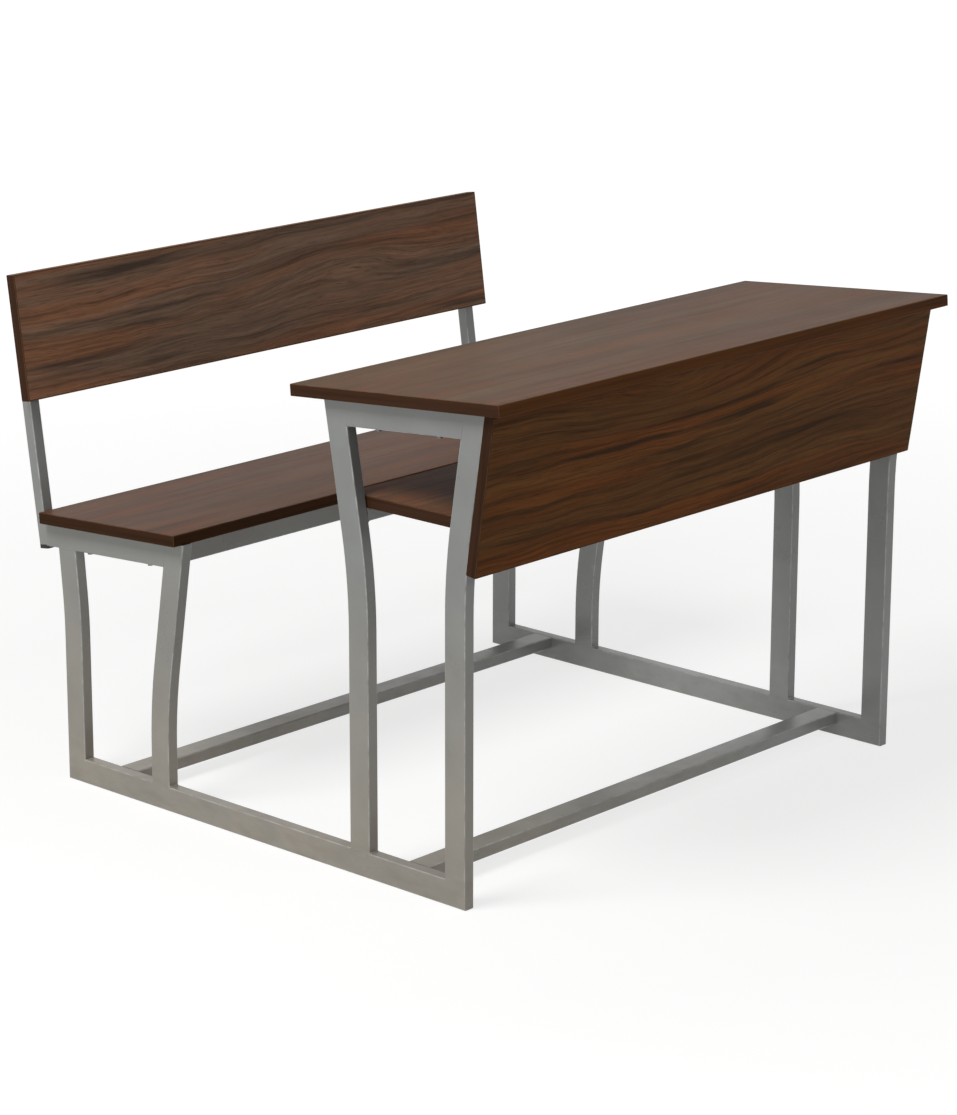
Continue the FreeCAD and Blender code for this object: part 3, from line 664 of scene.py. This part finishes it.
def powder_coat(name, wear_and_highlight_share):
    """The frame's coat. On corners, a share of pale colour stands for bare metal and paints in a highlight
    line.
    """
    material, tree, shader, place = new_finish(name, IOR=1.5, Specular_IOR_Level=0.2, Metallic=0.15)
    film = use_group(tree, fine_stipple, Vector=place, Pitch=0.0013)
    corner_patches = use_group(tree, corner_wear_and_highlight, Vector=place, Breakup=0.4)
    on_frame = add_node(tree, "ShaderNodeSeparateXYZ", [(0, place)]).outputs
    colour = blend(tree, film["Mottle"], SILVER_DULL, SILVER)
    colour = tint(tree, film["Speckle"], FLAKE_SHARE, colour, SILVER_PALE)
    # Painted light: lighter and warmer towards the floor, dust and the floor's warm bounce, and paler at
    # the far end to light the far legs.
    dust_and_bounce = stretch(tree, on_frame["Z"], *DUST_AND_BOUNCE_HEIGHTS, *DUST_AND_BOUNCE_SHARES)
    dust_and_bounce = maths(tree, "MULTIPLY", dust_and_bounce, stretch(tree, film["Mottle"], 0, 1, *DUST_AND_BOUNCE_MOTTLE))
    dust_and_bounce_tone = blend(tree, stretch(tree, on_frame["X"], *FAR_LIGHT_RANGE), FLOOR_DUST_AND_BOUNCE, FAR_END_PAINTED_LIGHT)
    colour = blend(tree, dust_and_bounce, colour, dust_and_bounce_tone)
    # Pale corners: partly worn coat, partly a painted highlight line along the tube's corners.
    colour = tint(tree, corner_patches["Wear And Highlight"], wear_and_highlight_share, colour, SILVER_WEAR_AND_HIGHLIGHT)
    # Scuffs and painted shade: darker brown patches right at the floor.
    patch_place = add_node(tree, "ShaderNodeVectorMath", [(0, place), (1, SCUFF_AND_SHADE_PER_METRE)], operation="MULTIPLY")
    scuff_and_shade_patches = stretch(tree, grain_noise(tree, patch_place.outputs[0], 5, 0.6), 0.4, 0.7)
    scuffed_and_shaded = maths(tree, "MULTIPLY", stretch(tree, on_frame["Z"], 0.0, SCUFF_AND_SHADE_TOP, 1.0, 0.0), scuff_and_shade_patches)
    colour = tint(tree, scuffed_and_shaded, SCUFF_AND_SHADE_SHARE, colour, SCUFF_AND_SHADE)
    feed(tree, shader["Base Color"], colour)
    gloss = maths(tree, "MULTIPLY_ADD", film["Mottle"], 0.06, 0.26)
    feed(tree, shader["Roughness"], maths(tree, "MULTIPLY_ADD", scuffed_and_shaded, 0.15, gloss))
    raise_surface(tree, shader, film["Height"], depth=0.0001, strength=0.12)
    return material


silver_coat = powder_coat("silver_powder_coat", wear_and_highlight_share=0.6)
weld_coat = powder_coat("welded_powder_coat", wear_and_highlight_share=0.0)
print("finishes", silver_coat.name, weld_coat.name)

# %% [markdown]
# The screws are zinc plated: a bright, slightly bluish metal with a soft haze, dulled in patches. They
# sit under the boards and behind the posts, so they show mostly from below and behind.

# %% Finish: zinc plate
ZINC_DULL = srgb(82, 83, 86)
ZINC = srgb(108, 109, 110)
ZINC_RUBBED = srgb(140, 140, 138)
ZINC_RUBBED_SHARE = 0.4

zinc_plate, tree, shader, place = new_finish("zinc_plate", Metallic=1.0)
film = use_group(tree, fine_stipple, Vector=place, Pitch=0.0006)
corner_patches = use_group(tree, corner_wear_and_highlight, Vector=place, Breakup=0.6)
colour = blend(tree, film["Mottle"], ZINC_DULL, ZINC)
feed(tree, shader["Base Color"], tint(tree, corner_patches["Wear And Highlight"], ZINC_RUBBED_SHARE, colour, ZINC_RUBBED))
feed(tree, shader["Roughness"], maths(tree, "MULTIPLY_ADD", film["Speckle"], 0.15, 0.38))
raise_surface(tree, shader, film["Height"], depth=0.00005, strength=0.4)
print("finish", zinc_plate.name)

# %% [markdown]
# The posts end in black plastic caps, moulded with a fine matt grain. Their corners are rubbed a little
# paler, and dust settles in the grain.

# %% Finish: black plastic
CAP_BLACK = srgb(16, 16, 17)
CAP_DUSTY = srgb(30, 30, 31)
CAP_RUBBED = srgb(66, 65, 64)
CAP_RUBBED_SHARE = 0.5

black_plastic, tree, shader, place = new_finish("black_moulded_plastic", Specular_IOR_Level=0.4, IOR=1.46)
film = use_group(tree, fine_stipple, Vector=place, Pitch=0.0005)
corner_patches = use_group(tree, corner_wear_and_highlight, Vector=place, Breakup=0.5)
colour = blend(tree, film["Mottle"], CAP_BLACK, CAP_DUSTY)
feed(tree, shader["Base Color"], tint(tree, corner_patches["Wear And Highlight"], CAP_RUBBED_SHARE, colour, CAP_RUBBED))
feed(tree, shader["Roughness"], maths(tree, "MULTIPLY_ADD", film["Speckle"], 0.15, 0.45))
raise_surface(tree, shader, film["Height"], depth=0.0001, strength=0.6)
print("finish", black_plastic.name)

# %% [markdown]
# Each CAD piece knows from the record which material slot it belongs to, so dressing the desk is one pass
# over the pieces. Boards and bands get their own, and the rest take the finish of their slot.

# %% Dress the CAD pieces
slot_finishes = {"frame_steel": silver_coat, "zinc_screw": zinc_plate, "black_plastic": black_plastic}
own_finishes = {**board_finishes, **band_finishes}
for piece in frame["record"]["subparts"]:
    name = piece["node"]
    finish = own_finishes.get(name) or slot_finishes[piece["material_slot"]]
    for slot in nodes[name].material_slots:
        slot.link = "OBJECT"
        slot.material = finish
print("dressed", len(nodes), "pieces")

# %% [markdown]
# Where tube meets tube, the frame is welded. A weld in an inside corner stands as a small rippled bead,
# and where two tubes are flush, the weld fills the groove between their rounded corners and is ground
# nearly flat. Beads could be curves with a bevel, but a ripple along them needs rings of its own, so a
# short sweep in bmesh makes them. All of them are painted over with the frame.

# %% Weld beads: a rippled sweep
BEAD = 0.0021
FILL = 0.0015
STEP = 0.0006
RIPPLE = 0.0023
BEAD_RIPPLE_SHARE = 0.1
FILL_RIPPLE_SHARE = 0.02
UNEVEN_SHARE = 0.12
UNEVEN_PER_METRE = 400
TIP_SHARE = 0.25
TAPER_RADII = 1.5
RING_POINTS = 10


def spots_along(path):
    """Points about a step apart on a path of corners."""
    spots = []
    for start, end in zip(path, path[1:]):
        count = max(2, round((end - start).length / STEP))
        spots += [start.lerp(end, step / count) for step in range(count)]
    return spots + [path[-1]]


def ring_around(mesh, spot, ahead, size):
    """A ring of points around a spot, square to the way ahead."""
    side = ahead.orthogonal().normalized()
    other = ahead.cross(side)
    angles = [2 * math.pi * corner / RING_POINTS for corner in range(RING_POINTS)]
    ways = [math.cos(angle) * side + math.sin(angle) * other for angle in angles]
    return [mesh.verts.new(spot + size * way) for way in ways]


def sweep_bead(mesh, path, radius, ripple):
    """Sweep a rippled ring along a path of corners, thinner towards its two ends."""
    spots = spots_along(path)
    last = len(spots) - 1
    rings = []
    for number, spot in enumerate(spots):
        ahead = (spots[min(number + 1, last)] - spots[max(number - 1, 0)]).normalized()
        run = number * STEP
        end_run = min(number, last - number) * STEP
        uneven = UNEVEN_SHARE * noise.noise(spot * UNEVEN_PER_METRE)
        swell = 1 + ripple * math.sin(2 * math.pi * run / RIPPLE) + uneven
        taper = math.sqrt(min(1, TIP_SHARE + end_run / radius / TAPER_RADII))
        rings.append(ring_around(mesh, spot, ahead, radius * swell * taper))
    for ring, after in zip(rings, rings[1:]):
        for corner in range(RING_POINTS):
            following = (corner + 1) % RING_POINTS
            mesh.faces.new((ring[corner], ring[following], after[following], after[corner]))
    mesh.faces.new(reversed(rings[0]))
    mesh.faces.new(rings[-1])


beads = bmesh.new()
print("bead radius", BEAD, "fill radius", FILL)

# %% [markdown]
# The places of the welds come from the pieces themselves. Seen from the end of the desk, each tube of an
# end frame is a flat shape, so the corner that lies furthest in a slanting direction is the corner of a
# joint.

# %% Weld beads: joints of the two end frames
TUBE_WIDE = 0.04
BEAD_INSET = 0.002
FILL_INSET = 0.0011
FILL_SHIFT = 0.0009


def corner_of(name, y, z):
    """The corner of a piece, seen from the end of the desk, that lies furthest towards (y, z)."""
    spots = [vertex.co for vertex in nodes[name].data.vertices]
    spot = max(spots, key=lambda co: co.y * y + co.z * z)
    return Vector((0, spot.y, spot.z))


def bead_across(spot, low_x, high_x):
    """A bead in an inside corner, across the width of a tube."""
    ends = [Vector((x, spot.y, spot.z)) for x in (low_x + BEAD_INSET, high_x - BEAD_INSET)]
    sweep_bead(beads, ends, BEAD, BEAD_RIPPLE_SHARE)


def fill_flush(first, second, towards, low_x, high_x):
    """A ground weld on both faces of two flush tubes. Towards points at the one with the rounded corner."""
    for x in (low_x + FILL_INSET, high_x - FILL_INSET):
        side = Vector((x, 0, 0)) + FILL_SHIFT * towards.normalized()
        sweep_bead(beads, [first + side, second + side], FILL, FILL_RIPPLE_SHARE)


down = Vector((0, 0, -1))
for end in ("left", "right"):
    low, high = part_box(f"floor_rail_{end}")
    foot_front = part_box(f"desk_rear_leg_{end}")[0].y
    bench_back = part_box(f"bench_front_leg_{end}")[1].y
    for front, behind in ((foot_front, foot_front + TUBE_WIDE), (bench_back - TUBE_WIDE, bench_back)):
        corners = [Vector((0, y, high.z)) for y in (front, behind)]
        for spot in corners:
            bead_across(spot, low.x, high.x)
        fill_flush(corners[0], corners[1], down, low.x, high.x)
    for rail in (f"desk_top_rail_{end}", f"seat_rail_{end}"):
        for y in (-1, 1):
            under = corner_of(rail, y, -1)
            bead_across(under, low.x, high.x)
            fill_flush(under, corner_of(rail, y, 1), Vector((0, y, 0)), low.x, high.x)
    leg = f"bench_rear_leg_{end}"
    front, behind = corner_of(leg, -0.2, 1), corner_of(leg, 1, 0.5)
    for spot in (front, behind):
        bead_across(spot, low.x, high.x)
    fill_flush(front, behind, -down, low.x, high.x)
print("bead points", len(beads.verts))

# %% [markdown]
# The stretchers and rails between the end frames butt against their inner faces. The outline of such an
# end comes from its mesh: the convex hull of the points at that end. The weld follows it on the sides and
# below.

# %% Weld beads: outline of a tube's end
END_REACH = 0.0001
TOP_BARE = 0.0035
OUTLINE_DIGITS = 5


def turn_of(a, b, c):
    """More than zero where the way from a over b to c turns left."""
    return (b[0] - a[0]) * (c[1] - a[1]) - (b[1] - a[1]) * (c[0] - a[0])


def end_outline(name, end_x):
    """The convex outline of a tube's end as (y, z) corners."""
    spots = sorted({
        (round(vertex.co.y, OUTLINE_DIGITS), round(vertex.co.z, OUTLINE_DIGITS))
        for vertex in nodes[name].data.vertices if abs(vertex.co.x - end_x) < END_REACH
    })
    hull = []
    for way in (spots, spots[::-1]):
        chain = []
        for spot in way:
            while len(chain) > 1 and turn_of(chain[-2], chain[-1], spot) <= 0:
                chain.pop()
            chain.append(spot)
        hull += chain[:-1]
    return hull


def below_top(outline):
    """The part of an outline from its top left corner, round below, to its top right corner."""
    top = max(z for y, z in outline) - TOP_BARE
    middle = sum(y for y, z in outline) / len(outline)
    lower = [spot for spot in outline if spot[1] < top]
    left = sorted((s for s in lower if s[0] < middle), key=lambda s: -s[1])
    behind = sorted((s for s in lower if s[0] >= middle), key=lambda s: s[1])
    return left + behind


for name in ("desk_stretcher", "bench_stretcher", "seat_cross_rail", "shelf_rail_front", "shelf_rail_rear"):
    for end_x in (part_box(name)[0].x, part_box(name)[1].x):
        path = [Vector((end_x, y, z)) for y, z in below_top(end_outline(name, end_x))]
        sweep_bead(beads, path, BEAD, BEAD_RIPPLE_SHARE)
print("bead points", len(beads.verts))

# %% [markdown]
# All the welds become one piece. It rides on the desk's only body and takes the frame's coat, in the
# version without pale corners.

# %% Weld beads: one piece under the coat
def add_to_frame(name, mesh):
    """Add a welded piece to the frame, under its coat."""
    piece = bpy.data.objects.new(name, mesh)
    bpy.context.scene.collection.objects.link(piece)
    mesh.materials.append(weld_coat)
    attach(piece, "root")


weld_mesh = bpy.data.meshes.new("weld_beads")
bmesh.ops.recalc_face_normals(beads, faces=beads.faces)
beads.to_mesh(weld_mesh)
beads.free()
for face in weld_mesh.polygons:
    face.use_smooth = True
add_to_frame("weld_beads", weld_mesh)
print("weld points", len(weld_mesh.vertices))

# %% [markdown]
# The front shelf rail meets the legs where they bend, so a strip of each open end stands out behind the
# leg. A maker closes it with a scrap of flat steel, welded in before painting. A scaled cube does for
# that: it fills the bore of the tube and stays just short of its end.

# %% Plates in the ends of the front shelf rail
TUBE_WALL = 0.0015
PLATE_THICK = 0.002
PLATE_SETBACK = 0.0003

low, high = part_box("shelf_rail_front")
size = high - low - 2 * Vector((0, TUBE_WALL, TUBE_WALL))
size.x = PLATE_THICK
plates = bmesh.new()
for way, end_x in ((1, low.x), (-1, high.x)):
    middle = (low + high) / 2
    middle.x = end_x + way * (PLATE_SETBACK + PLATE_THICK / 2)
    bmesh.ops.create_cube(plates, size=1, matrix=Matrix.LocRotScale(middle, None, size))
plate_mesh = bpy.data.meshes.new("shelf_rail_end_plates")
plates.to_mesh(plate_mesh)
plates.free()
add_to_frame("shelf_rail_end_plates", plate_mesh)
print("end plate", size)
